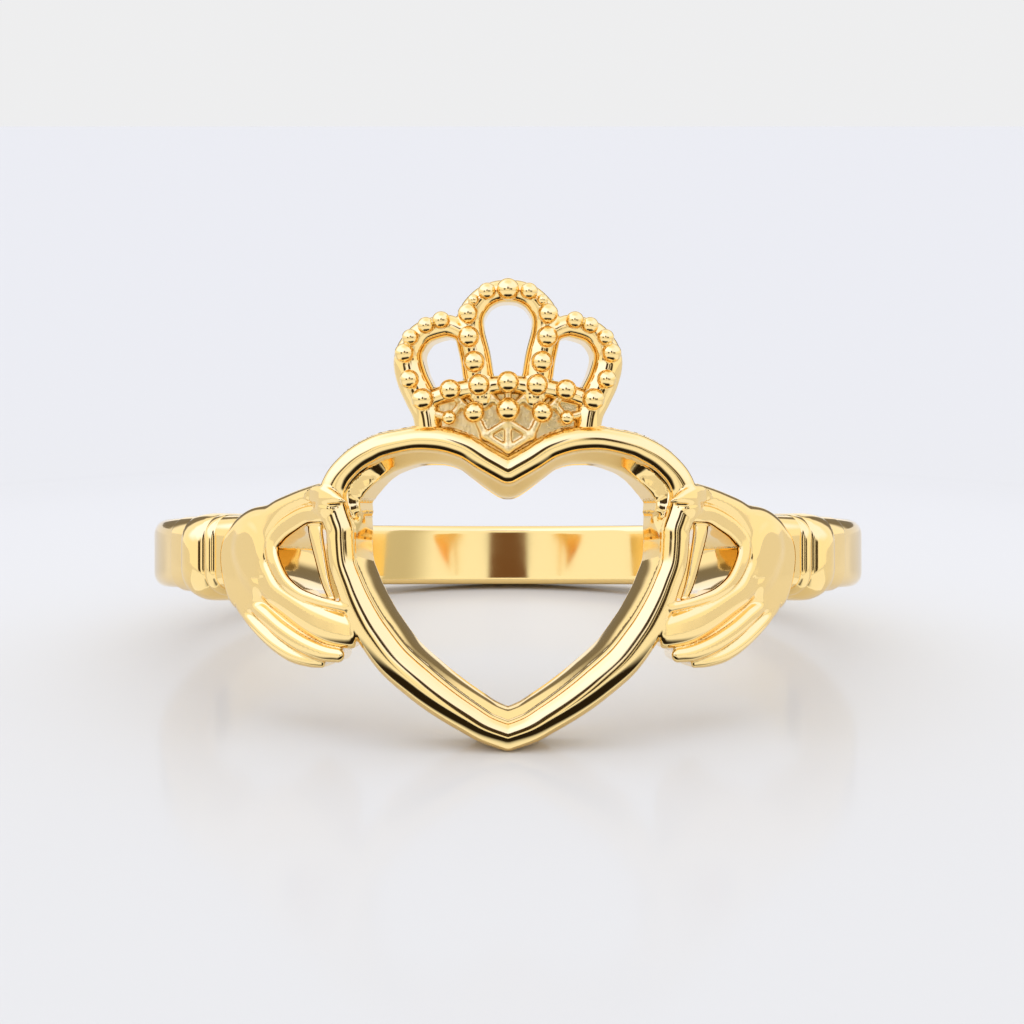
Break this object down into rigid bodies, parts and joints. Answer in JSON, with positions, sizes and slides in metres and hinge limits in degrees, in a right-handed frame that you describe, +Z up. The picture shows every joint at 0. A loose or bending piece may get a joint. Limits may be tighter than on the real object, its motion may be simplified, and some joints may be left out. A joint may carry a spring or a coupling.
{
  "type": "claddagh ring",
  "caption": "Yellow gold claddagh ring: an open heart under a pierced, beaded crown, held between hands whose cuffs run into a plain band.",
  "frame": {"origin": "middle of the bounding box on the surface that the ring lies on", "axes": "+Z up, -Y towards the front of the heart, +X to the viewer's right; the ring lies as it rests by itself, on the tip of the heart and the back of the band"},
  "size_m": [0.0206, 0.0226, 0.0115],
  "materials": {
    "gold": "polished"
  },
  "bodies": {
    "root": {"ring": "gold"}
  },
  "joints": []
}
